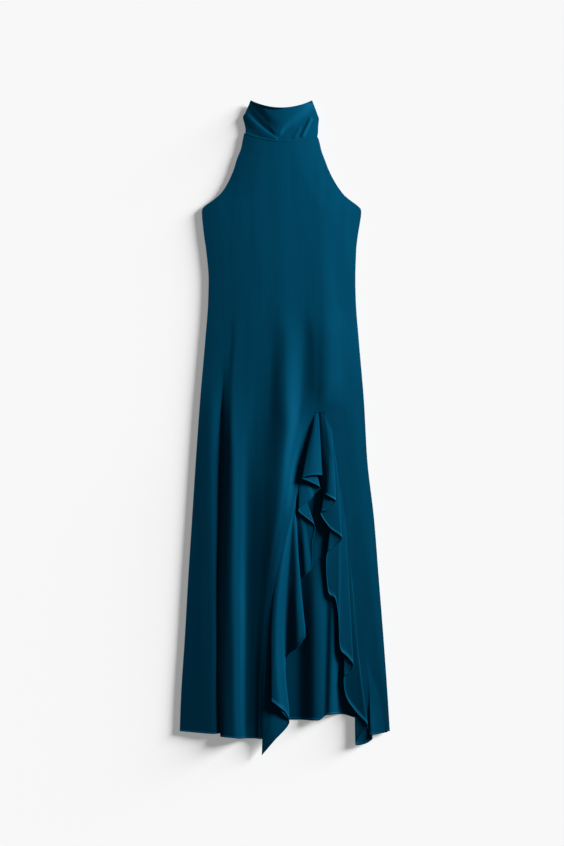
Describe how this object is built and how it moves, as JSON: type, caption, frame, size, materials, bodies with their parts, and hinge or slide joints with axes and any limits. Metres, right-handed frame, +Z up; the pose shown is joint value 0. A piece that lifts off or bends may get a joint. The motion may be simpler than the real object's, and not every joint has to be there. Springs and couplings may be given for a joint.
{
  "type": "halter dress",
  "caption": "Long sleeveless halter dress with a draped stand collar and a front slit edged by wavy flounces, laid flat.",
  "frame": {"origin": "on the surface that the dress lies on, under the middle of its box", "axes": "+Y runs up the dress from hem to collar, +X to the right as seen from above, +Z up from the surface"},
  "size_m": [0.494, 1.5382, 0.0208],
  "materials": {
    "satin_jersey": "soft satin sheen, petrol blue"
  },
  "bodies": {
    "root": {"front_panel": "satin_jersey", "back_panel": "satin_jersey", "collar": "satin_jersey", "flounce_left": "satin_jersey", "flounce_right": "satin_jersey"}
  },
  "joints": []
}
